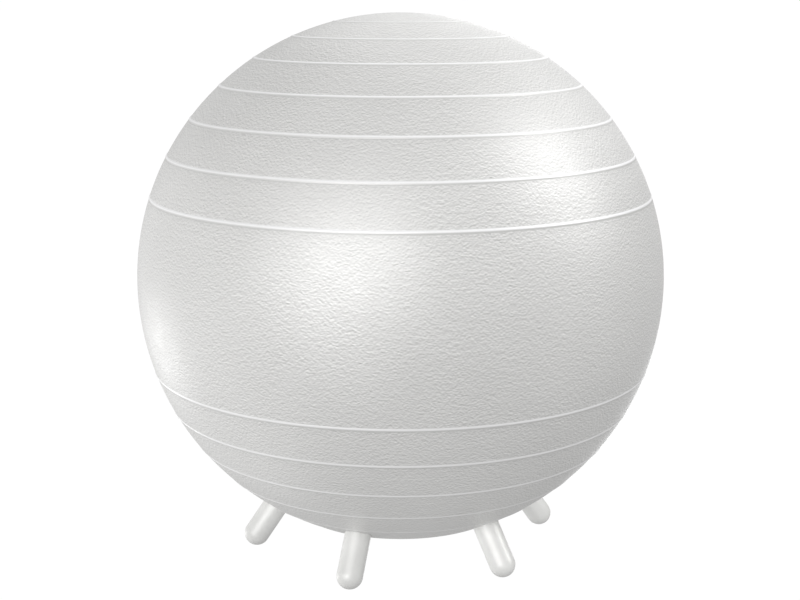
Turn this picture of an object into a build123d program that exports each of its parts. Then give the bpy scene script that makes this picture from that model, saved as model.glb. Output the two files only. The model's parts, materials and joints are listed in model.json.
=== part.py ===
import os
from math import cos, radians, sin

from build123d import *

# Sitting ball with feet: an inflated, ribbed vinyl ball that stands on six
# soft hollow fingers and is blown up through a stoppered valve at the back.
#
# Frame: millimetres, +Z up, Z = 0 is the floor under the soles, the Z axis
# runs through the centre of the ball. The front is -Y, midway between two
# feet. The valve is at the back, +Y.

# ---- ball ---------------------------------------------------------------
BALL_D = 650.0              # outside diameter of the blown-up skin
SKIN_T = 1.0                # wall of the skin
BALL_Z = 341.0              # height of the ball's centre above the floor
RIB_FIRST_UP = 19.25        # latitude of the rib above the smooth band, degrees
RIB_STEP_UP = 9.4           # from one rib to the next above it, degrees
RIB_FIRST_LOW = 19.0        # latitude of the rib below the smooth band, degrees south
RIB_STEP_LOW = 9.25         # from one rib to the next below it, degrees
RIB_COUNT = 7               # ribs on each half of the ball
RIB_W = 4.6                 # width of a rib at its base
RIB_H = 0.6                 # how far a rib stands out of the skin

# ---- feet ---------------------------------------------------------------
FOOT_D = 31.6               # outside diameter of a foot
FOOT_WALL = 3.0             # wall of a foot
FOOT_REACH = 50.8           # from the skin to the centre of the round tip
FOOT_ROOT = 29.0            # angle from the ball's south pole to a foot, degrees
FOOT_TILT = 34.8            # lean of a foot away from vertical, degrees
FOOT_GAP = 0.35             # room around a foot in its hole in the skin
FLANGE_D = 41.0             # weld flange of a foot, inside the skin
FLANGE_T = 1.6              # thickness of that flange
BOND_GAP = 0.30             # bond line between the flange and the skin

# Azimuth of each foot, degrees from the front towards +X.
FEET = {
    "foot_front_left": -30.0,
    "foot_front_right": 30.0,
    "foot_right": 90.0,
    "foot_rear_right": 150.0,
    "foot_rear_left": -150.0,
    "foot_left": -90.0,
}

# ---- valve --------------------------------------------------------------
VALVE_LAT = 8.0             # latitude of the valve in the smooth band, degrees
SEAT_NECK_D = 22.0          # the seat where it passes through the skin
SEAT_RIM_H = 0.6            # how far the seat's rim stands out of the skin
SEAT_GAP = 0.35             # room around the neck in its hole in the skin
SEAT_FLANGE_D = 36.0        # bonding flange of the seat, inside the skin
SEAT_FLANGE_Z = -4.4        # inner face of that flange, below the skin's outside
SEAT_BOSS_D = 17.0          # boss around the bore
SEAT_BOSS_Z = -16.0         # inner end of the boss
VALVE_BORE_D = 9.0          # bore that the pump nozzle or the plug goes into
RECESS_D = 15.6             # recess for the head of the plug
RECESS_Z = -1.7             # floor of that recess
PLUG_HEAD_D = 15.0          # head of the plug
PLUG_HEAD_TOP = 0.35        # top of the head above the skin's outside
PLUG_SEAT_GAP = 0.06        # under the head
PLUG_RIB_D = 8.9            # sealing ribs on the stem
PLUG_STEM_D = 8.3           # stem between the ribs
PLUG_RIBS = (-4.6, -8.4, -12.2)   # height of each sealing rib's centre
PLUG_RIB_W = 1.6            # width of a sealing rib
PLUG_TIP_Z = -21.0          # inner end of the stem
PLUG_TIP_D = 5.6            # diameter at that end
PLUG_CORE_D = 3.6           # blind hole up the stem
PLUG_CORE_Z = -4.0          # end of that hole

BALL_R = BALL_D / 2
IN_R = BALL_R - SKIN_T
FOOT_R = FOOT_D / 2
CENTRE = (0, 0, BALL_Z)

os.makedirs("parts", exist_ok=True)


def on_meridian(radius, latitude):
    """Point of the ball's half section at a latitude, as (x, z)."""
    a = radians(latitude)
    return (radius * cos(a), BALL_Z + radius * sin(a))


def foot_frame(azimuth):
    """Root point on the skin, axis out of the ball and side direction of a foot."""
    a, root, tilt = radians(azimuth), radians(FOOT_ROOT), radians(FOOT_TILT)
    out = Vector(sin(a), -cos(a), 0)
    up = Vector(0, 0, 1)
    point = out * (BALL_R * sin(root)) + up * (BALL_Z - BALL_R * cos(root))
    axis = out * sin(tilt) - up * cos(tilt)
    side = out * cos(tilt) + up * sin(tilt)
    return point, axis, side


def section_plane(point, axis, side):
    """Plane through an axis: local X is the radius, local Y runs along the axis."""
    return Plane(origin=point, x_dir=side, z_dir=side.cross(axis))


VALVE_AXIS = Vector(0, cos(radians(VALVE_LAT)), sin(radians(VALVE_LAT)))
VALVE_POINT = VALVE_AXIS * BALL_R + Vector(0, 0, BALL_Z)
VALVE_SECTION = section_plane(VALVE_POINT, VALVE_AXIS, Vector(1, 0, 0))
VALVE_FACE = Plane(origin=VALVE_POINT, x_dir=Vector(1, 0, 0), z_dir=VALVE_AXIS)

# ---- skin of the ball ---------------------------------------------------
# The half section runs up the outside from the south pole to the north pole,
# over every rib, and back down the inside.
half_rib = RIB_W / 2 / BALL_R * 57.29577951308232
rib_latitudes = sorted(
    [RIB_FIRST_UP + i * RIB_STEP_UP for i in range(RIB_COUNT)]
    + [-RIB_FIRST_LOW - i * RIB_STEP_LOW for i in range(RIB_COUNT)]
)

with BuildPart() as ball_skin:
    with BuildSketch(Plane.XZ) as half_section:
        with BuildLine() as half_outline:
            at = -90.0
            for latitude in rib_latitudes:
                foot_of_rib, end_of_rib = latitude - half_rib, latitude + half_rib
                ThreePointArc(
                    on_meridian(BALL_R, at) if at > -90.0 else (0, BALL_Z - BALL_R),
                    on_meridian(BALL_R, (at + foot_of_rib) / 2),
                    on_meridian(BALL_R, foot_of_rib),
                )
                ThreePointArc(
                    on_meridian(BALL_R, foot_of_rib),
                    on_meridian(BALL_R + RIB_H, latitude),
                    on_meridian(BALL_R, end_of_rib),
                )
                at = end_of_rib
            ThreePointArc(
                on_meridian(BALL_R, at),
                on_meridian(BALL_R, (at + 90.0) / 2),
                (0, BALL_Z + BALL_R),
            )
            Line((0, BALL_Z + BALL_R), (0, BALL_Z + IN_R))
            ThreePointArc(
                (0, BALL_Z + IN_R), (IN_R, BALL_Z), (0, BALL_Z - IN_R)
            )
            Line((0, BALL_Z - IN_R), (0, BALL_Z - BALL_R))
        make_face()
    revolve(axis=Axis.Z)
    # a hole for each foot, square to the foot's own axis
    for azimuth in FEET.values():
        point, axis, side = foot_frame(azimuth)
        with BuildSketch(Plane(origin=point, x_dir=side, z_dir=axis)):
            Circle(FOOT_R + FOOT_GAP)
        extrude(amount=12, both=True, mode=Mode.SUBTRACT)
    # the hole for the valve seat
    with BuildSketch(VALVE_FACE):
        Circle(SEAT_NECK_D / 2 + SEAT_GAP)
    extrude(amount=8, both=True, mode=Mode.SUBTRACT)
ball_skin.part.label = "ball_skin"
export_step(ball_skin.part, "parts/ball_skin.step")

# ---- feet ---------------------------------------------------------------
# Each foot is a hollow finger with a round tip, open to the inside of the
# ball, with a flange that lies against the inside of the skin and a small
# flat sole where it stands on the floor.
for name, azimuth in FEET.items():
    point, axis, side = foot_frame(azimuth)
    along = section_plane(point, axis, side)
    with BuildPart() as foot:
        # flange: a disc under the skin, cut to the curve of the inside
        with BuildSketch(Plane(origin=point, x_dir=side, z_dir=axis)):
            Circle(FLANGE_D / 2)
        extrude(amount=9, both=True)
        with Locations(CENTRE):
            Sphere(IN_R - BOND_GAP, mode=Mode.INTERSECT)
        # finger, with its round tip
        with BuildSketch(along):
            with BuildLine():
                Line((0, -9), (FOOT_R, -9))
                Line((FOOT_R, -9), (FOOT_R, FOOT_REACH))
                RadiusArc(
                    (FOOT_R, FOOT_REACH), (0, FOOT_REACH + FOOT_R), -FOOT_R
                )
                Line((0, FOOT_REACH + FOOT_R), (0, -9))
            make_face()
        revolve(axis=Axis(point, axis))
        # the inner end follows the flange
        with Locations(CENTRE):
            Sphere(IN_R - BOND_GAP - FLANGE_T, mode=Mode.SUBTRACT)
        # hollow up the middle, open to the ball
        bore_r = FOOT_R - FOOT_WALL
        with BuildSketch(along):
            with BuildLine():
                Line((0, -20), (bore_r, -20))
                Line((bore_r, -20), (bore_r, FOOT_REACH))
                RadiusArc(
                    (bore_r, FOOT_REACH), (0, FOOT_REACH + bore_r), -bore_r
                )
                Line((0, FOOT_REACH + bore_r), (0, -20))
            make_face()
        revolve(axis=Axis(point, axis), mode=Mode.SUBTRACT)
        # flat sole on the floor
        split(bisect_by=Plane.XY, keep=Keep.TOP)
    foot.part.label = name
    export_step(foot.part, "parts/" + name + ".step")

# ---- valve seat ---------------------------------------------------------
# A thick bush bonded into the skin: flange inside, neck through the skin,
# bore for the nozzle, recess that takes the head of the plug.
with BuildPart() as valve_seat:
    with BuildSketch(VALVE_SECTION):
        with BuildLine():
            Polyline(
                (0, SEAT_FLANGE_Z),
                (SEAT_FLANGE_D / 2, SEAT_FLANGE_Z),
                (SEAT_FLANGE_D / 2, 0),
                (0, 0),
                close=True,
            )
        make_face()
    revolve(axis=Axis(VALVE_POINT, VALVE_AXIS))
    with Locations(CENTRE):
        Sphere(IN_R - BOND_GAP, mode=Mode.INTERSECT)
    with BuildSketch(VALVE_SECTION):
        with BuildLine():
            Polyline(
                (0, SEAT_BOSS_Z),
                (SEAT_BOSS_D / 2 - 0.8, SEAT_BOSS_Z),
                (SEAT_BOSS_D / 2, SEAT_BOSS_Z + 0.8),
                (SEAT_BOSS_D / 2, SEAT_FLANGE_Z),
                (SEAT_NECK_D / 2, SEAT_FLANGE_Z),
                (SEAT_NECK_D / 2, SEAT_RIM_H - 0.4),
                (SEAT_NECK_D / 2 - 0.4, SEAT_RIM_H),
                (0, SEAT_RIM_H),
                close=True,
            )
        make_face()
    revolve(axis=Axis(VALVE_POINT, VALVE_AXIS))
    with BuildSketch(VALVE_SECTION):
        with BuildLine():
            Polyline(
                (0, SEAT_BOSS_Z - 1),
                (VALVE_BORE_D / 2, SEAT_BOSS_Z - 1),
                (VALVE_BORE_D / 2, RECESS_Z),
                (RECESS_D / 2, RECESS_Z),
                (RECESS_D / 2, SEAT_RIM_H + 1),
                (0, SEAT_RIM_H + 1),
                close=True,
            )
        make_face()
    revolve(axis=Axis(VALVE_POINT, VALVE_AXIS), mode=Mode.SUBTRACT)
valve_seat.part.label = "valve_seat"
export_step(valve_seat.part, "parts/valve_seat.step")

# ---- valve plug ---------------------------------------------------------
# Pull-out stopper: a flat round head with a shallow dimple, a stem with
# sealing ribs, a tapered end and a blind hole that lets the stem give.
with BuildPart() as valve_plug:
    under_head = RECESS_Z + PLUG_SEAT_GAP
    stem_r, rib_r, half_w = PLUG_STEM_D / 2, PLUG_RIB_D / 2, PLUG_RIB_W / 2
    stem_line = [(stem_r, under_head)]
    for height in PLUG_RIBS:
        stem_line += [
            (stem_r, height + half_w + 0.3),
            (rib_r, height + half_w - 0.3),
            (rib_r, height - half_w + 0.3),
            (stem_r, height - half_w - 0.3),
        ]
    with BuildSketch(VALVE_SECTION):
        with BuildLine():
            Polyline(
                (PLUG_CORE_D / 2, PLUG_TIP_Z),
                (PLUG_CORE_D / 2, PLUG_CORE_Z - 1.0),
                (0, PLUG_CORE_Z),
                (0, PLUG_HEAD_TOP - 0.5),
                (2.2, PLUG_HEAD_TOP - 0.4),
                (3.0, PLUG_HEAD_TOP),
                (PLUG_HEAD_D / 2 - 0.5, PLUG_HEAD_TOP),
                (PLUG_HEAD_D / 2, PLUG_HEAD_TOP - 0.5),
                (PLUG_HEAD_D / 2, under_head),
                *stem_line,
                (stem_r, -15.5),
                (PLUG_TIP_D / 2, PLUG_TIP_Z),
                close=True,
            )
        make_face()
    revolve(axis=Axis(VALVE_POINT, VALVE_AXIS))
valve_plug.part.label = "valve_plug"
export_step(valve_plug.part, "parts/valve_plug.step")
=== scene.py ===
import json
import math

import bpy
import numpy as np
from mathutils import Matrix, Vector

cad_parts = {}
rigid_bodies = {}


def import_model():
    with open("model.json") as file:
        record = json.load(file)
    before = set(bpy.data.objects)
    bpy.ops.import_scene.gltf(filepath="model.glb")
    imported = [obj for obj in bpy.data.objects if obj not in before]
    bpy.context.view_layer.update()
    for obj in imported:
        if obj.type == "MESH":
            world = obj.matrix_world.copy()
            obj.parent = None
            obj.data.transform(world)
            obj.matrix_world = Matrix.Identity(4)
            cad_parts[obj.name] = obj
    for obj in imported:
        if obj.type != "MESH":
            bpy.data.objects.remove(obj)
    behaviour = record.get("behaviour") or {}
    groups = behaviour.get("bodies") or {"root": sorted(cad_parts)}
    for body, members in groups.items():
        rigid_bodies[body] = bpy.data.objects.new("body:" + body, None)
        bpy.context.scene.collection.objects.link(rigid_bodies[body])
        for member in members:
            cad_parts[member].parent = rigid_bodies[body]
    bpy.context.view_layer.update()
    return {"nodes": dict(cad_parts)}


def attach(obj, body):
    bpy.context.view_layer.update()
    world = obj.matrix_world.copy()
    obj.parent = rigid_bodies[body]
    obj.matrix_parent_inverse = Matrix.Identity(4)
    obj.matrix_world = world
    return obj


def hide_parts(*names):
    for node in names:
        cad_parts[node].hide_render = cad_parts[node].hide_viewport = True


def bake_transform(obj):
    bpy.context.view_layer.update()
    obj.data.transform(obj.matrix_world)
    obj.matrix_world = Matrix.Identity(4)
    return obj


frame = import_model()
nodes = frame["nodes"]

# ---------------------------------------------------------------------------
# Sizes, in metres, in the same frame as the construction model.
# ---------------------------------------------------------------------------
R = 0.325                      # outside of the skin
SKIN_T = 0.001
R_IN = R - SKIN_T
ZC = 0.341                     # height of the ball's centre
CENTRE = np.array([0.0, 0.0, ZC])
RIB_LATITUDES = sorted([19.25 + 9.4 * i for i in range(7)] + [-19.0 - 9.25 * i for i in range(7)])
RIB_HALF = 0.0023
RIB_H = 0.0006

FOOT_R = 0.0158
FOOT_WALL = 0.003
FOOT_REACH = 0.0508
FOOT_ROOT = math.radians(29.0)
FOOT_TILT = math.radians(34.8)
FLANGE_R = 0.0205
FEET = {
    "foot_front_left": -30.0,
    "foot_front_right": 30.0,
    "foot_right": 90.0,
    "foot_rear_right": 150.0,
    "foot_rear_left": -150.0,
    "foot_left": -90.0,
}
GRAIN = 325.0                  # wrinkles of the skin, per metre
GRAIN_FLAT = 1.36              # how much longer a wrinkle is round the ball than up it
GRAIN_BUMP = 0.32
# strength of the painted light and shade on the grain
GRAIN_SHADE_PAINT = 1.12
VALVE_LAT = math.radians(8.0)
VALVE_HOLE_R = 0.0112


def foot_frame(azimuth):
    """Root point on the skin, axis out of the ball and side direction of a foot."""
    a = math.radians(azimuth)
    out = np.array([math.sin(a), -math.cos(a), 0.0])
    up = np.array([0.0, 0.0, 1.0])
    point = CENTRE + R * (math.sin(FOOT_ROOT) * out - math.cos(FOOT_ROOT) * up)
    axis = math.sin(FOOT_TILT) * out - math.cos(FOOT_TILT) * up
    side = math.cos(FOOT_TILT) * out + math.sin(FOOT_TILT) * up
    return point, axis, side


def valve_frame():
    axis = np.array([0.0, math.cos(VALVE_LAT), math.sin(VALVE_LAT)])
    return CENTRE + R * axis, axis, np.array([1.0, 0.0, 0.0])


def along_to_sphere(points, axis, radius):
    """Moves points along axis until they lie on the sphere of that radius, on the near side."""
    q = points - CENTRE
    b = q @ axis
    c = (q * q).sum(1) - radius * radius
    return points + ((-b + np.sqrt(b * b - c))[:, None]) * axis


# ---------------------------------------------------------------------------
# Meshes
# ---------------------------------------------------------------------------
def make_object(name, verts, faces, masks=None, smooth_angle=40.0):
    mesh = bpy.data.meshes.new(name)
    mesh.from_pydata([tuple(v) for v in verts], [], [tuple(int(i) for i in f) for f in faces])
    mesh.validate()
    for key, values in (masks or {}).items():
        mesh.attributes.new(key, "FLOAT", "POINT").data.foreach_set(
            "value", np.asarray(values, np.float32)
        )
    mesh.polygons.foreach_set("use_smooth", np.ones(len(mesh.polygons), bool))
    mesh.set_sharp_from_angle(angle=math.radians(smooth_angle))
    mesh.update()
    obj = bpy.data.objects.new(name, mesh)
    bpy.context.scene.collection.objects.link(obj)
    return obj


def sphere_grid(rows, columns):
    """Points and faces of a ball from (latitude, radius) rows between the poles."""
    lat = np.array([r[0] for r in rows])
    rad = np.array([r[1] for r in rows])
    lon = np.arange(columns) * (2 * math.pi / columns)
    ring = np.stack(
        [
            np.outer(rad * np.cos(lat), np.cos(lon)),
            np.outer(rad * np.cos(lat), np.sin(lon)),
            np.repeat((rad * np.sin(lat))[:, None], columns, 1),
        ],
        2,
    )
    verts = np.concatenate([ring.reshape(-1, 3), [[0, 0, -rad[0]], [0, 0, rad[-1]]]]) + CENTRE
    n = len(rows)
    south, north = n * columns, n * columns + 1
    faces = []
    for i in range(n - 1):
        for j in range(columns):
            k = (j + 1) % columns
            faces.append((i * columns + j, i * columns + k, (i + 1) * columns + k, (i + 1) * columns + j))
    for j in range(columns):
        k = (j + 1) % columns
        faces.append((south, k, j))
        faces.append((north, (n - 1) * columns + j, (n - 1) * columns + k))
    return verts, faces


def open_hole(verts, faces, hole, ring, clear):
    """Takes the faces round a hole away and joins what is left to a ring of points.

    hole is (point, axis, side); ring holds the points of the hole's edge in turn.
    Returns the new points and faces, and the ring's point numbers.
    """
    point, axis, side = hole
    third = np.cross(axis, side)
    q = verts - point
    x, y, h = q @ side, q @ third, q @ axis
    near = (np.hypot(x, y) < clear) & (np.abs(h) < 0.05)
    kept = [f for f in faces if not any(near[i] for i in f)]
    gone = [f for f in faces if any(near[i] for i in f)]
    sides = {}
    for f in gone:
        for a, b in zip(f, f[1:] + f[:1]):
            sides[(a, b)] = True
    edge = {a: b for a, b in sides if (b, a) not in sides}
    start = next(iter(edge))
    loop, at = [start], edge[start]
    while at != start:
        loop.append(at)
        at = edge[at]
    first = len(verts)
    verts = np.concatenate([verts, ring])
    ring_ids = list(range(first, first + len(ring)))

    def angle(i):
        p = verts[i] - point
        return math.atan2(p @ third, p @ side)

    def turned(ids):
        a = np.unwrap([angle(i) for i in ids])
        if a[-1] < a[0]:
            ids = ids[::-1]
            a = np.unwrap([angle(i) for i in ids])
        s = int(np.argmin(np.mod(a, 2 * math.pi)))
        ids = ids[s:] + ids[:s]
        a = np.unwrap([angle(i) for i in ids])
        a -= 2 * math.pi * math.floor(a[0] / (2 * math.pi))
        return ids + ids[:1], np.append(a, a[0] + 2 * math.pi)

    outer, oa = turned(loop)
    inner, ia = turned(ring_ids)
    i = j = 0
    made = []
    while i < len(outer) - 1 or j < len(inner) - 1:
        if j == len(inner) - 1 or (i < len(outer) - 1 and oa[i + 1] <= ia[j + 1]):
            made.append((outer[i], outer[i + 1], inner[j]))
            i += 1
        else:
            made.append((outer[i], inner[j + 1], inner[j]))
            j += 1
    way = np.cross(
        verts[made[0][1]] - verts[made[0][0]], verts[made[0][2]] - verts[made[0][0]]
    )
    old = gone[0]
    facing = np.cross(verts[old[1]] - verts[old[0]], verts[old[2]] - verts[old[0]])
    if way @ facing < 0:
        made = [f[::-1] for f in made]
    return verts, kept + made, ring_ids


def circle_points(hole, radius, sphere_radius, count):
    point, axis, side = hole
    third = np.cross(axis, side)
    t = np.arange(count) * (2 * math.pi / count)
    flat = point + radius * (np.outer(np.cos(t), side) + np.outer(np.sin(t), third))
    return along_to_sphere(flat, axis, sphere_radius)


def strip(a, b):
    """Faces between two closed rings of the same count."""
    n = len(a)
    return [(a[i], a[(i + 1) % n], b[(i + 1) % n], b[i]) for i in range(n)]


def skin_rows():
    """Rows up the outside of the skin, closer together over the ribs.

    Each is latitude, radius, share of rib, share of the painted highlight on its upper side and share of the painted
    shade in the crease under it.
    """
    half = RIB_HALF * 1.5
    xs = half * np.array([-1, -0.82, -0.7, -0.6, -0.48, -0.34, -0.18, 0, 0.18, 0.34, 0.48, 0.6, 0.7, 0.82, 1])
    rows = []
    at = -math.pi / 2
    stops = [math.radians(v) for v in RIB_LATITUDES] + [math.pi / 2]
    for n, lat in enumerate(stops):
        last = n == len(stops) - 1
        end = lat if last else lat - half / R
        steps = max(3, round((end - at) * R / 0.0088))
        for k in range(1, steps):
            rows.append((at + (end - at) * k / steps, R, 0.0, 0.0, 0.0))
        if last:
            break
        # the ribs' painted highlight grows fainter towards the poles, the lower ones sooner, and so does the painted
        # shade under them
        degrees = math.degrees(lat)
        strength = np.interp(degrees, [-75, -56, -46, -37, -19, 19, 90], [0.3, 0.34, 0.56, 0.68, 0.76, 1.0, 1.0])
        width = 0.66 if lat > 0 else 0.58
        under = np.interp(degrees, [-75, -46, -19, 19, 38, 57, 75], [0.2, 0.4, 0.7, 0.85, 0.6, 0.3, 0.1])
        for x in xs:
            a = RIB_H * (1 - (x / RIB_HALF) ** 2)
            h = 0.5 * (a + math.sqrt(a * a + 0.00012**2))
            q = x / RIB_HALF
            share = min(1.0, h / (0.45 * RIB_H))
            # painted highlight on the rib's upper side, painted shade in the crease under it
            upper_highlight_paint = strength * math.exp(-(((q - 0.38) / width) ** 4))
            crease_shade_paint = under * math.exp(-(((q + 0.98) / 0.40) ** 2))
            rows.append((lat + x / R, R + h, share, upper_highlight_paint, crease_shade_paint))
        at = lat + half / R
    return rows


HOLES = [(foot_frame(a), FOOT_R + 0.00015, 88) for a in FEET.values()]
HOLES.append((valve_frame(), VALVE_HOLE_R, 72))


def build_skin():
    rows = skin_rows()
    columns = 264
    verts, faces = sphere_grid(rows, columns)
    marks = [np.concatenate([np.repeat([r[i] for r in rows], columns), [0.0, 0.0]]) for i in (2, 3, 4)]
    rims = []
    for hole, radius, count in HOLES:
        ring = circle_points(hole, radius + 0.0005, R, count)
        verts, faces, ids = open_hole(verts, faces, hole, ring, radius + 0.0026)
        rims.append(ids)
    # the skin turns in at each hole with a small round edge
    ends = []
    for (hole, radius, count), ids in zip(HOLES, rims):
        for extra, depth in ((0.00028, 0.00006), (0.00009, 0.00022), (0.0, 0.0005), (0.0, SKIN_T)):
            ring = circle_points(hole, radius + extra, R - depth, count)
            new = list(range(len(verts), len(verts) + count))
            verts = np.concatenate([verts, ring])
            faces += strip(ids, new)
            ids = new
        ends.append(ids)
    # the inside of the skin, which is plain
    count_in = 46
    inner_rows = [(-math.pi / 2 + math.pi * (i + 1) / (count_in + 1), R_IN) for i in range(count_in)]
    inner, inner_faces = sphere_grid(inner_rows, 96)
    rings_in = []
    for (hole, radius, count), ids in zip(HOLES, ends):
        inner, inner_faces, ring_ids = open_hole(inner, inner_faces, hole, verts[ids], radius + 0.004)
        rings_in.append(ring_ids)
    same = {r: i for ring, ids in zip(rings_in, ends) for r, i in zip(ring, ids)}
    shift = len(verts)
    free = [i for i in range(len(inner)) if i not in same]
    number = {i: shift + k for k, i in enumerate(free)}
    number.update(same)
    used = len(verts)
    verts = np.concatenate([verts, inner[free]])
    faces += [tuple(number[i] for i in f[::-1]) for f in inner_faces]
    names = ("rib", "rib_painted_light", "rib_painted_shade")
    masks = {name: np.zeros(len(verts)) for name in names + ("inside",)}
    for name, mark in zip(names, marks):
        masks[name][: len(mark)] = mark
    masks["inside"][used:] = 1.0
    # points that no face uses are left out
    in_use = np.zeros(len(verts), bool)
    for f in faces:
        in_use[list(f)] = True
    renumber = np.cumsum(in_use) - 1
    faces = [tuple(int(renumber[i]) for i in f) for f in faces]
    return make_object(
        "ball_skin_vinyl", verts[in_use], faces, {name: mask[in_use] for name, mask in masks.items()}
    )


def build_foot(name, azimuth):
    """A hollow finger with a round tip, a flat sole and a flange under the skin."""
    point, axis, side = foot_frame(azimuth)
    third = np.cross(axis, side)
    n = 96
    t = np.arange(n) * (2 * math.pi / n)
    spoke = np.outer(np.cos(t), side) + np.outer(np.sin(t), third)
    rings = []
    outer_tip = 26
    for k in range(outer_tip):                   # round tip, from its end to the side
        a = math.pi / 2 * (k + 1) / outer_tip
        r, h = FOOT_R * math.sin(a), FOOT_REACH + FOOT_R * math.cos(a)
        rings.append(point + r * spoke + h * axis)
    length = 30
    root_y = 0.0002
    for k in range(1, length + 1):               # side, from the tip to the skin
        h = FOOT_REACH + (root_y - FOOT_REACH) * k / length
        rings.append(point + FOOT_R * spoke + h * axis)
    outer_count = len(rings)
    for r, depth in (
        (FOOT_R, 0.0005), (FOOT_R, 0.0011), (FOOT_R + 0.0004, 0.00128), (FLANGE_R - 0.0004, 0.00130),
        (FLANGE_R, 0.0016), (FLANGE_R, 0.0026), (FLANGE_R - 0.0005, 0.0029), (FOOT_R - FOOT_WALL, 0.0029),
    ):
        rings.append(along_to_sphere(point + r * spoke, axis, R - depth))
    bore = FOOT_R - FOOT_WALL
    for k in range(1, 13):                       # the hollow
        h = FOOT_REACH * k / 12
        rings.append(point + bore * spoke + h * axis)
    for k in range(1, 10):
        a = math.pi / 2 * k / 10
        rings.append(point + bore * math.cos(a) * spoke + (FOOT_REACH + bore * math.sin(a)) * axis)
    verts = np.concatenate(rings + [[point + (FOOT_REACH + FOOT_R) * axis], [point + (FOOT_REACH + bore) * axis]])
    tip, hollow = len(verts) - 2, len(verts) - 1
    faces = []
    for k in range(len(rings) - 1):
        faces += strip(list(range((k + 1) * n, (k + 2) * n)), list(range(k * n, (k + 1) * n)))
    last = (len(rings) - 1) * n
    for i in range(n):
        faces.append((tip, i, (i + 1) % n))
        faces.append((hollow, last + (i + 1) % n, last + i))
    # flat sole, with a soft edge, where the tip stands on the floor
    z = verts[:, 2]
    outside = np.zeros(len(verts), bool)
    outside[: outer_count * n] = True
    outside[tip] = True
    sole = 0.5 * (z + np.sqrt(z * z + 0.0005**2)) - 0.00006
    verts[outside, 2] = sole[outside]
    obj = make_object(name + "_vinyl", verts, faces, {}, 50.0)
    return obj, point, axis


# ---------------------------------------------------------------------------
# Materials
# ---------------------------------------------------------------------------
class Nodes:
    """Short hand for a material's node tree."""

    def __init__(self, name):
        self.material = bpy.data.materials.new(name)
        self.material.use_nodes = True
        self.tree = self.material.node_tree
        self.tree.nodes.clear()
        self.out = self.tree.nodes.new("ShaderNodeOutputMaterial")
        self.shader = self.tree.nodes.new("ShaderNodeBsdfPrincipled")
        self.tree.links.new(self.shader.outputs["BSDF"], self.out.inputs["Surface"])

    def add(self, kind, settings=None, inputs=None):
        node = self.tree.nodes.new(kind)
        for key, value in (settings or {}).items():
            setattr(node, key, value)
        for key, value in (inputs or {}).items():
            self.set(node, key, value)
        return node

    def set(self, node, key, value):
        socket = node.inputs[key]
        if isinstance(value, bpy.types.NodeSocket):
            self.tree.links.new(value, socket)
        else:
            socket.default_value = value

    def math(self, operation, a, b=0.0, clamp=False):
        node = self.add("ShaderNodeMath", {"operation": operation, "use_clamp": clamp})
        self.set(node, 0, a)
        self.set(node, 1, b)
        return node.outputs[0]

    def position(self, offset=(0.0, 0.0, 0.0)):
        coord = self.add("ShaderNodeTexCoord")
        move = self.add("ShaderNodeVectorMath", {"operation": "SUBTRACT"})
        self.set(move, 0, coord.outputs["Object"])
        move.inputs[1].default_value = offset
        return move.outputs["Vector"]

    def noise(self, vector, scale, detail=2.0, roughness=0.5, distortion=0.0):
        node = self.add(
            "ShaderNodeTexNoise", {"noise_dimensions": "3D"},
            {"Vector": vector, "Scale": scale, "Detail": detail, "Roughness": roughness, "Distortion": distortion},
        )
        return node.outputs["Fac"]

    def span(self, value, low, high, to_low, to_high, kind="LINEAR"):
        node = self.add(
            "ShaderNodeMapRange", {"clamp": True, "interpolation_type": kind},
            {"Value": value, "From Min": low, "From Max": high, "To Min": to_low, "To Max": to_high},
        )
        return node.outputs["Result"]

    def mix_colour(self, share, a, b, blend="MIX"):
        node = self.add("ShaderNodeMix", {"data_type": "RGBA", "blend_type": blend})
        self.set(node, 0, share)
        self.set(node, 6, a)
        self.set(node, 7, b)
        return node.outputs[2]

    def mix_value(self, share, a, b):
        node = self.add("ShaderNodeMix", {"data_type": "FLOAT"})
        self.set(node, 0, share)
        self.set(node, 2, a)
        self.set(node, 3, b)
        return node.outputs[0]

    def attribute(self, name):
        return self.add("ShaderNodeAttribute", {"attribute_name": name}).outputs["Fac"]

    def bump(self, height, distance, strength=1.0, normal=None):
        node = self.add("ShaderNodeBump", None, {"Height": height, "Distance": distance, "Strength": strength})
        if normal is not None:
            self.set(node, "Normal", normal)
        return node.outputs["Normal"]


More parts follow.
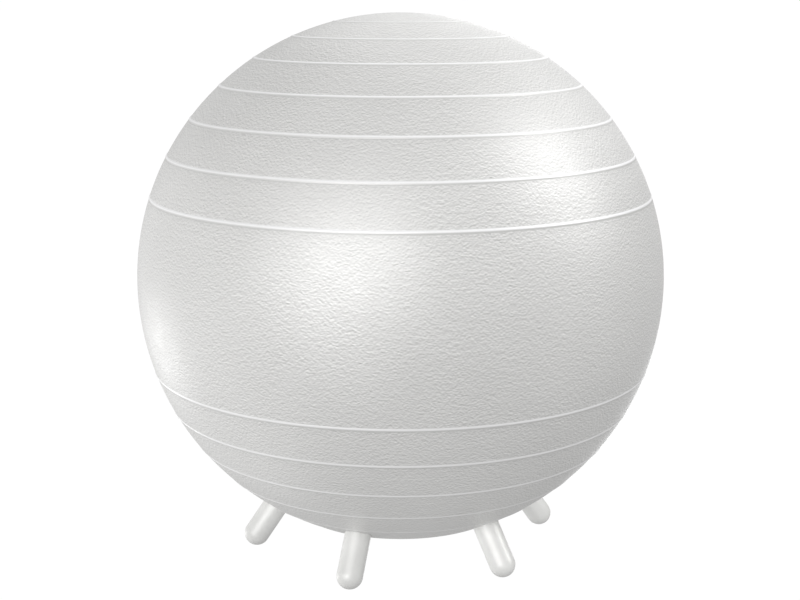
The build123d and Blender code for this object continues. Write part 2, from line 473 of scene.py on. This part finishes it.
def ball_vinyl():
    """Pearl silver vinyl with a fine wrinkled grain between smooth ribs, with painted light and shade on the grain and
    a painted highlight and shade along the ribs.
    """
    m = Nodes("ball_vinyl")
    p = m.position((0.0, 0.0, ZC))
    rib = m.attribute("rib")

    def grain(place):
        flat = m.add("ShaderNodeVectorMath", {"operation": "MULTIPLY"}, {0: place})
        flat.inputs[1].default_value = (1.0, 1.0, GRAIN_FLAT)
        place = flat.outputs["Vector"]
        fine = m.noise(place, GRAIN, 1.0, 0.42, 0.35)
        broad = m.noise(place, GRAIN * 0.46, 0.0, 0.5, 0.6)
        return m.math("ADD", fine, m.math("MULTIPLY", broad, 0.32))

    # up the skin: the part of the vertical that lies in the surface
    out = m.add("ShaderNodeVectorMath", {"operation": "NORMALIZE"}, {0: p}).outputs["Vector"]
    rise = m.add("ShaderNodeSeparateXYZ", None, {"Vector": out}).outputs["Z"]
    leaning = m.add("ShaderNodeVectorMath", {"operation": "SCALE"}, {0: out, "Scale": rise}).outputs["Vector"]
    upright = m.add("ShaderNodeVectorMath", {"operation": "SUBTRACT"}, {1: leaning})
    upright.inputs[0].default_value = (0.0, 0.0, 1.0)
    uphill = m.add("ShaderNodeVectorMath", {"operation": "NORMALIZE"}, {0: upright.outputs["Vector"]}).outputs["Vector"]

    def moved(distance):
        step = m.add("ShaderNodeVectorMath", {"operation": "SCALE"}, {0: uphill, "Scale": distance})
        return m.add("ShaderNodeVectorMath", {"operation": "ADD"}, {0: p, 1: step.outputs["Vector"]}).outputs["Vector"]

    # grain: fine rounded wrinkles, uneven in depth from place to place
    height = grain(p)
    patchy = m.span(m.noise(p, 24.0, 2.0, 0.5), 0.3, 0.7, 0.90, 1.08)
    depth = m.math("MULTIPLY", patchy, m.span(rib, 0.0, 0.5, 1.0, 0.08))
    # the skin is smooth close round the valve
    place = m.add("ShaderNodeVectorMath", {"operation": "DISTANCE"}, {0: p})
    place.inputs[1].default_value = tuple(valve_frame()[0] - CENTRE)
    depth = m.math("MULTIPLY", depth, m.span(place.outputs["Value"], 0.0125, 0.0190, 0.10, 1.0))
    normal = m.bump(m.math("MULTIPLY", height, depth), 0.0009, GRAIN_BUMP)
    # painted light and shade on the grain: each wrinkle's lower side is painted greyer than its upper side, as if lit
    # from above
    grain_painted_shade = m.math("SUBTRACT", grain(moved(-0.00035)), grain(moved(0.00035)))
    # at the poles there is no lower side, so the painted shade falls between the wrinkles instead
    slope = m.add("ShaderNodeVectorMath", {"operation": "LENGTH"}, {0: upright.outputs["Vector"]}).outputs["Value"]
    between = m.math("MULTIPLY", m.math("SUBTRACT", height, 0.66), 0.38)
    grain_painted_shade = m.mix_value(m.span(slope, 0.05, 0.26, 0.0, 1.0), between, grain_painted_shade)
    grain_shade_amount = m.math("MULTIPLY", grain_painted_shade, m.math("MULTIPLY", depth, GRAIN_SHADE_PAINT))
    # pearl pigment: a little cloudy, with a fine fleck
    cloud = m.noise(p, 9.0, 3.0, 0.55)
    base = m.mix_colour(
        m.span(cloud, 0.3, 0.7, 0.0, 1.0), (0.609, 0.607, 0.598, 1.0), (0.639, 0.637, 0.628, 1.0)
    )
    fleck = m.noise(p, 1000.0, 1.0, 0.5)
    base = m.mix_colour(m.span(fleck, 0.35, 0.65, 0.0, 0.06), base, (0.72, 0.72, 0.715, 1.0))
    # the grain's painted light and shade scale the colour
    grain_shaded_base = m.add("ShaderNodeVectorMath", {"operation": "SCALE"}, {0: base})
    m.set(grain_shaded_base, "Scale", m.math("ADD", grain_shade_amount, 1.0))
    base = grain_shaded_base.outputs["Vector"]
    # ribs: a painted highlight along the top, with a thin line of painted shade in the crease below
    base = m.mix_colour(m.math("MULTIPLY", m.attribute("rib_painted_light"), 0.96), base, (0.868, 0.868, 0.874, 1.0))
    base = m.mix_colour(m.math("MULTIPLY", m.attribute("rib_painted_shade"), 0.72), base, (0.45, 0.45, 0.443, 1.0))
    base = m.mix_colour(m.attribute("inside"), base, (0.50, 0.50, 0.49, 1.0))
    rough = m.span(m.noise(p, 60.0, 3.0, 0.6), 0.3, 0.7, 0.39, 0.46)
    rough = m.mix_value(rib, rough, 0.40)
    m.set(m.shader, "Base Color", base)
    m.set(m.shader, "Roughness", rough)
    m.set(m.shader, "Normal", normal)
    m.shader.inputs["Metallic"].default_value = 0.30
    m.shader.inputs["IOR"].default_value = 1.5
    m.shader.inputs["Specular IOR Level"].default_value = 0.5
    return m.material


def foot_vinyl():
    """The same vinyl without grain: smooth, satin, a little paler."""
    m = Nodes("foot_vinyl")
    p = m.position()
    cloud = m.noise(p, 35.0, 3.0, 0.55)
    fleck = m.noise(p, 1100.0, 1.0, 0.5)
    base = m.mix_colour(
        m.span(cloud, 0.3, 0.7, 0.0, 1.0), (0.70, 0.70, 0.685, 1.0), (0.75, 0.75, 0.735, 1.0)
    )
    base = m.mix_colour(m.span(fleck, 0.35, 0.65, 0.0, 0.08), base, (0.76, 0.76, 0.745, 1.0))
    # painted shade: the foot is darker towards its tip and lighter at its root, and darker still close to the floor;
    # its sole is also scuffed
    geometry = m.add("ShaderNodeTexCoord").outputs["Object"]
    split = m.add("ShaderNodeSeparateXYZ", None, {"Vector": geometry})
    painted_length_shade = m.add("ShaderNodeVectorMath", {"operation": "SCALE"}, {0: base})
    m.set(painted_length_shade, "Scale", m.span(split.outputs["Z"], 0.008, 0.052, 0.91, 1.08))
    base = painted_length_shade.outputs["Vector"]
    # painted shade on the tip, darkest at the floor
    base = m.mix_colour(m.span(split.outputs["Z"], 0.0, 0.011, 0.46, 0.0), base, (0.46, 0.457, 0.447, 1.0))
    low = m.span(split.outputs["Z"], 0.0002, 0.004, 1.0, 0.0)
    scuff = m.math("MULTIPLY", low, m.span(m.noise(p, 420.0, 3.0, 0.6), 0.4, 0.65, 0.1, 0.55))
    base = m.mix_colour(scuff, base, (0.40, 0.395, 0.385, 1.0))
    rough = m.span(m.noise(p, 90.0, 3.0, 0.6), 0.3, 0.7, 0.34, 0.42)
    rough = m.mix_value(scuff, rough, 0.6)
    skin = m.noise(p, 260.0, 2.0, 0.5)
    normal = m.bump(skin, 0.0004, 0.06)
    m.set(m.shader, "Base Color", base)
    m.set(m.shader, "Roughness", rough)
    m.set(m.shader, "Normal", normal)
    m.shader.inputs["Metallic"].default_value = 0.20
    m.shader.inputs["IOR"].default_value = 1.5
    return m.material


def seat_vinyl():
    """The valve's soft bush: smooth vinyl of the ball's colour."""
    m = Nodes("seat_vinyl")
    p = m.position()
    cloud = m.noise(p, 160.0, 3.0, 0.55)
    base = m.mix_colour(
        m.span(cloud, 0.3, 0.7, 0.0, 1.0), (0.56, 0.56, 0.55, 1.0), (0.62, 0.62, 0.61, 1.0)
    )
    m.set(m.shader, "Base Color", base)
    m.set(m.shader, "Roughness", m.span(m.noise(p, 400.0, 2.0, 0.6), 0.3, 0.7, 0.40, 0.52))
    m.set(m.shader, "Normal", m.bump(m.noise(p, 900.0, 2.0, 0.5), 0.0002, 0.25))
    m.shader.inputs["Metallic"].default_value = 0.15
    return m.material


def plug_plastic():
    """The stopper: white, slightly glossy, with fine moulding marks."""
    m = Nodes("plug_plastic")
    p = m.position()
    cloud = m.noise(p, 220.0, 3.0, 0.55)
    base = m.mix_colour(
        m.span(cloud, 0.3, 0.7, 0.0, 1.0), (0.78, 0.78, 0.76, 1.0), (0.85, 0.85, 0.835, 1.0)
    )
    m.set(m.shader, "Base Color", base)
    m.set(m.shader, "Roughness", m.span(m.noise(p, 600.0, 2.0, 0.6), 0.3, 0.7, 0.26, 0.36))
    m.set(m.shader, "Normal", m.bump(m.noise(p, 1300.0, 2.0, 0.5), 0.00012, 0.2))
    return m.material


def floor_white():
    m = Nodes("floor_white")
    p = m.position()
    base = m.mix_colour(
        m.span(m.noise(p, 3.0, 3.0, 0.5), 0.3, 0.7, 0.0, 1.0), (0.020, 0.020, 0.0198, 1.0), (0.024, 0.024, 0.0238, 1.0)
    )
    m.set(m.shader, "Base Color", base)
    m.set(m.shader, "Roughness", m.span(m.noise(p, 40.0, 2.0, 0.5), 0.3, 0.7, 0.75, 0.85))
    m.shader.inputs["Specular IOR Level"].default_value = 0.0
    # white under the object and behind it, a little greyer far off to the sides and the front
    flat = m.add("ShaderNodeVectorMath", {"operation": "MULTIPLY"}, {0: p})
    flat.inputs[1].default_value = (1.0, 1.0, 0.0)
    far = m.add("ShaderNodeVectorMath", {"operation": "LENGTH"}, {0: flat.outputs["Vector"]}).outputs["Value"]
    far = m.math("ADD", far, m.add("ShaderNodeSeparateXYZ", None, {"Vector": p}).outputs["Z"])
    way = m.add("ShaderNodeVectorMath", {"operation": "NORMALIZE"}, {0: flat.outputs["Vector"]}).outputs["Vector"]
    behind = m.add("ShaderNodeVectorMath", {"operation": "DOT_PRODUCT"}, {0: way})
    behind.inputs[1].default_value = level
    aside = m.span(behind.outputs["Value"], 0.40, 0.80, 1.0, 0.0, "SMOOTHSTEP")
    grey = m.math("MULTIPLY", aside, m.span(far, 0.5, 2.8, 0.0, 0.14, "SMOOTHSTEP"))
    m.shader.inputs["Emission Color"].default_value = (1.0, 1.0, 1.0, 1.0)
    m.set(m.shader, "Emission Strength", m.math("SUBTRACT", 1.0, grey))
    return m.material


# ---------------------------------------------------------------------------
# The object
# ---------------------------------------------------------------------------
skin = build_skin()
skin.data.materials.append(ball_vinyl())
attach(skin, "ball")
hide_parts("ball_skin")

foot_material = foot_vinyl()
for foot_name, foot_azimuth in FEET.items():
    foot, root, out = build_foot(foot_name, foot_azimuth)
    foot.data.materials.append(foot_material)
    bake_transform(foot)
    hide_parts(foot_name)

for node_name, material in (("valve_seat", seat_vinyl()), ("valve_plug", plug_plastic())):
    node = nodes[node_name]
    node.data.materials.clear()
    node.data.materials.append(material)

# ---------------------------------------------------------------------------
# Camera, at the photograph's viewing angle
# ---------------------------------------------------------------------------
AZ = math.radians(-11.2)
PITCH = math.radians(12.24)
level = Vector((-math.sin(AZ), math.cos(AZ), 0.0))
right = Vector((math.cos(AZ), math.sin(AZ), 0.0))
forward = math.cos(PITCH) * level - math.sin(PITCH) * Vector((0, 0, 1))
upward = math.sin(PITCH) * level + math.cos(PITCH) * Vector((0, 0, 1))
camera_data = bpy.data.cameras.new("camera")
camera_data.sensor_fit = "HORIZONTAL"
camera_data.sensor_width = 36.0
camera_data.lens = 1457.0 / 800.0 * 36.0
camera_data.clip_start, camera_data.clip_end = 0.05, 60.0
camera = bpy.data.objects.new("camera", camera_data)
bpy.context.scene.collection.objects.link(camera)
camera.location = Vector(CENTRE) - R * (0.002 * right + 0.091 * upward + 5.622 * forward)
camera.rotation_mode = "QUATERNION"
camera.rotation_quaternion = (forward).to_track_quat("-Z", "Y")
bpy.context.scene.camera = camera

# ---------------------------------------------------------------------------
# Floor and light
# ---------------------------------------------------------------------------
def build_floor():
    """A pale floor that runs up into a round backdrop, far from the object."""
    profile = [(0.0, 0.0), (0.6, 0.0), (1.2, 0.0), (2.2, 0.0), (3.4, 0.0), (4.6, 0.0)]
    bend, centre_r = 2.2, 4.6
    profile += [
        (centre_r + bend * math.sin(a), bend - bend * math.cos(a))
        for a in (math.radians(9 * k) for k in range(1, 11))
    ]
    profile += [(centre_r + bend, 3.6), (centre_r + bend, 5.0)]
    n = 96
    verts, faces = [(0.0, 0.0, 0.0)], []
    for r, z in profile[1:]:
        verts += [(r * math.cos(2 * math.pi * i / n), r * math.sin(2 * math.pi * i / n), z) for i in range(n)]
    for i in range(n):
        faces.append((0, 1 + i, 1 + (i + 1) % n))
    for k in range(len(profile) - 2):
        a, b = 1 + k * n, 1 + (k + 1) * n
        faces += [(a + i, b + i, b + (i + 1) % n, a + (i + 1) % n) for i in range(n)]
    return make_object("floor", verts, faces)


floor = build_floor()
floor.data.materials.append(floor_white())


# The floor is a light table: it is evenly white, and light comes up through it.
floor.visible_diffuse = False
floor.visible_glossy = False
floor.visible_transmission = False
floor.visible_shadow = False


def soft_light(name, azimuth, elevation, radius, radiance):
    """A round soft light. Azimuth 0 is above the camera and 90 to its right; radius is the angle it fills."""
    a, e = math.radians(azimuth), math.radians(elevation)
    d = math.cos(e) * (-math.cos(a) * level + math.sin(a) * right) + math.sin(e) * Vector((0, 0, 1))
    # no two lights lie in one plane
    distance = 3.4 + 0.05 * sum(o.type == "LIGHT" for o in bpy.context.scene.objects)
    across = distance * math.tan(math.radians(radius))
    data = bpy.data.lights.new(name, "AREA")
    data.shape = "DISK"
    data.size = 2 * across
    data.energy = radiance * math.pi * math.pi * across * across
    light = bpy.data.objects.new(name, data)
    bpy.context.scene.collection.objects.link(light)
    light.location = Vector(CENTRE) + distance * d
    light.rotation_mode = "QUATERNION"
    light.rotation_quaternion = (-d).to_track_quat("-Z", "Y")
    light.visible_camera = False
    return light


# left of the camera: one large soft light with a brighter middle, and a weak one above it
soft_light("left_wide", -24.0, 14.0, 34.0, 0.86)
soft_light("left_middle", -24.0, 14.0, 15.0, 1.35)
soft_light("left_low", -38.0, 8.0, 14.0, 0.49)
soft_light("left_high", -10.0, 20.0, 14.0, 0.92)
soft_light("front_high", 20.0, 40.0, 14.0, 0.43)
# to the right and above: a slanting strip, and weaker ones behind it
soft_light("strip_middle", 86.0, 36.0, 12.0, 3.05)
soft_light("strip_high", 76.0, 48.0, 12.0, 1.53)
soft_light("strip_low", 84.0, 20.0, 12.0, 1.40)
soft_light("strip_front", 70.0, 30.0, 12.0, 0.35)
soft_light("strip_back", 115.0, 40.0, 16.0, 0.67)
soft_light("right_back", 130.0, 20.0, 10.0, 0.45)
# low behind on both sides, for the edges
soft_light("low_left", -123.0, -20.0, 9.0, 2.68)
soft_light("low_right", 160.0, -22.0, 8.0, 2.02)
soft_light("back_edge", 172.0, 10.0, 6.0, 3.04)
# fill from above, behind and both sides
soft_light("top", 0.0, 86.0, 30.0, 0.10)
soft_light("top_back", 155.0, 51.0, 31.0, 0.45)
soft_light("back", 164.0, 18.0, 22.0, 0.31)
soft_light("back_high", 180.0, 38.0, 20.0, 0.31)
soft_light("back_left", -145.0, 8.0, 18.0, 0.15)
soft_light("fill_right", 70.0, 4.0, 43.0, 0.12)
soft_light("fill_left", -104.0, -20.0, 45.0, 0.41)
# low cards for the two feet on the right, which the ball shades from the rest
for shaded, radiance in (("foot_right", 0.90), ("foot_front_right", 0.22)):
    card = soft_light(shaded + "_card", 10.0, -8.0, 24.0, radiance)
    lit = bpy.data.collections.new(shaded + "_lit")
    lit.objects.link(bpy.data.objects[shaded + "_vinyl"])
    card.light_linking.receiver_collection = lit

world = bpy.data.worlds.new("world")
bpy.context.scene.world = world
world.use_nodes = True
background = world.node_tree.nodes.get("Background") or world.node_tree.nodes.new("ShaderNodeBackground")
background.inputs["Color"].default_value = (1.0, 1.0, 1.0, 1.0)
background.inputs["Strength"].default_value = 0.57

bpy.context.scene.view_settings.view_transform = "Standard"
bpy.context.scene.view_settings.look = "None"
bpy.context.scene.view_settings.exposure = 0.0
bpy.context.scene.view_settings.gamma = 1.0
